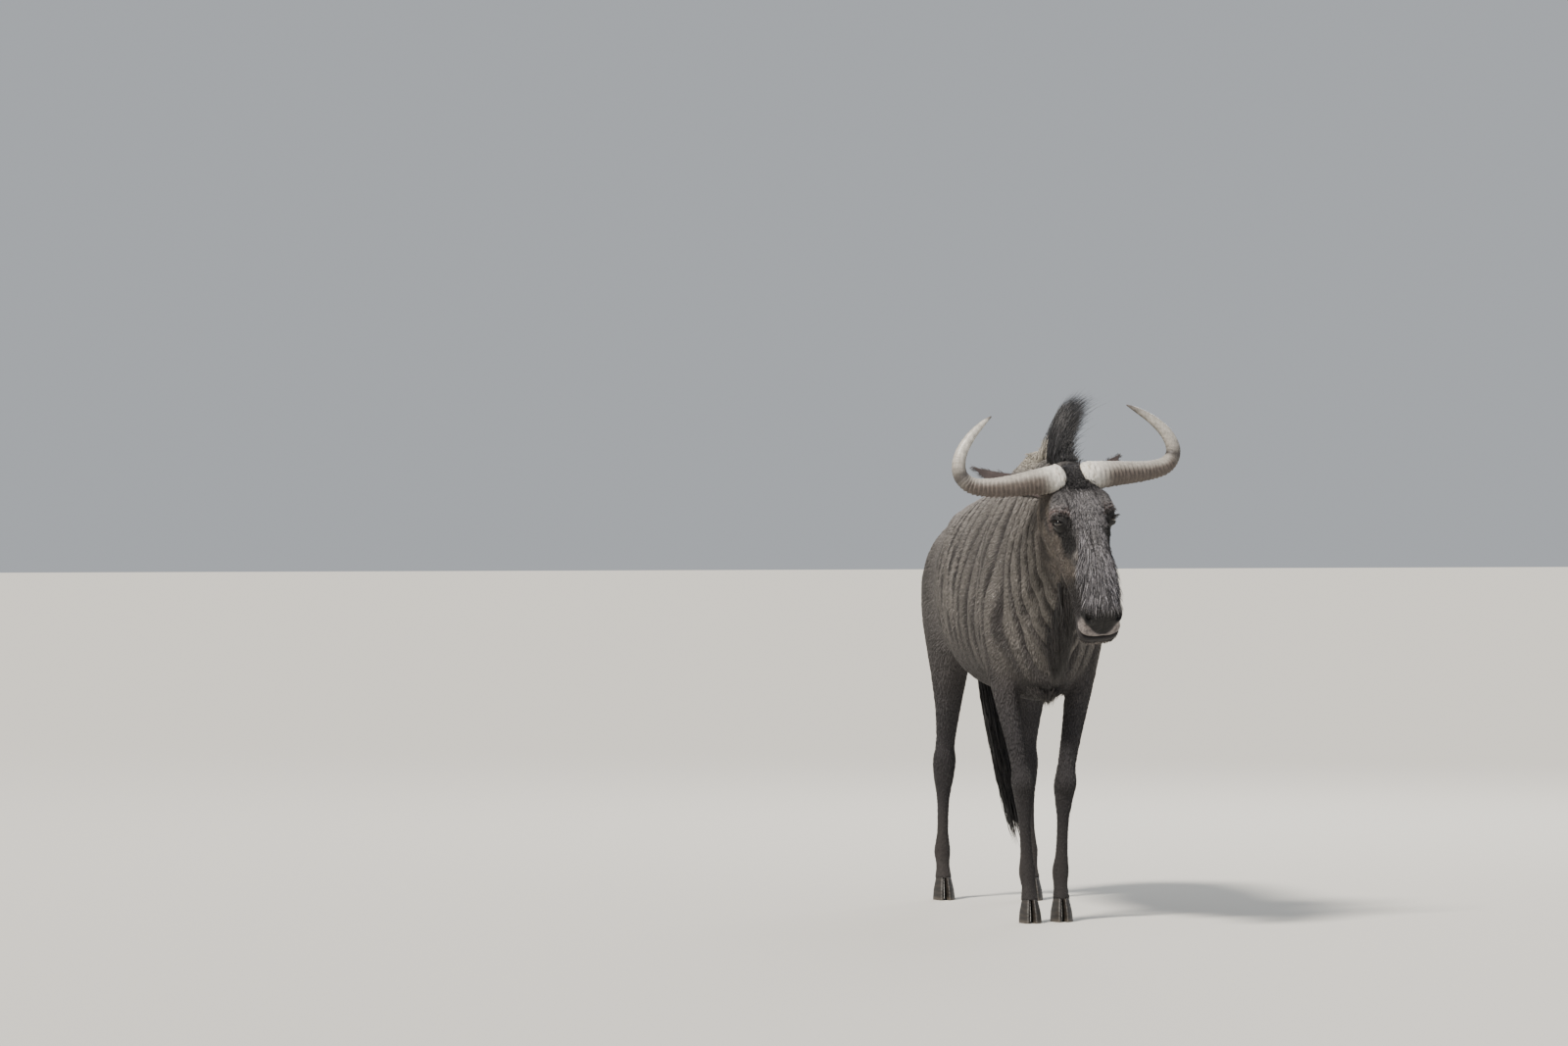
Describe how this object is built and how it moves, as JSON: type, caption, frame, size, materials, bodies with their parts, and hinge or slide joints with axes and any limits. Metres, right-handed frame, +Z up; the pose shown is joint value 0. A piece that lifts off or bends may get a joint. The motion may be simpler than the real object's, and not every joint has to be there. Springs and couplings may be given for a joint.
{
  "type": "wildebeest",
  "caption": "A life-size blue wildebeest bull standing still, its head turned a little to its left, with curved horns, a standing mane, a throat beard and a swung tail.",
  "frame": {"origin": "the middle of the model's box, on the floor", "axes": "+Z is up, -Y is the way the animal faces and +X is its left"},
  "size_m": [0.71, 1.9536, 1.5848],
  "materials": {
    "coat": "matt",
    "hair": "matt",
    "horn": "satin",
    "hoof": "matt",
    "eye": "gloss"
  },
  "bodies": {
    "root": {"head": "coat", "neck": "coat", "shoulders": "coat", "barrel": "coat", "haunches": "coat", "leg_fore_left_upper": "coat", "leg_fore_left_lower": "coat", "leg_fore_right_upper": "coat", "leg_fore_right_lower": "coat", "leg_hind_left_upper": "coat", "leg_hind_left_lower": "coat", "leg_hind_right_upper": "coat", "leg_hind_right_lower": "coat", "hoof_fore_left": "hoof", "hoof_fore_right": "hoof", "hoof_hind_left": "hoof", "hoof_hind_right": "hoof", "horn_base_left": "horn", "horn_tip_left": "horn", "horn_base_right": "horn", "horn_tip_right": "horn", "ear_left": "coat", "ear_right": "coat", "eye_left": "eye", "eye_right": "eye", "tail_dock": "coat", "tail_tuft": "hair"}
  },
  "joints": []
}
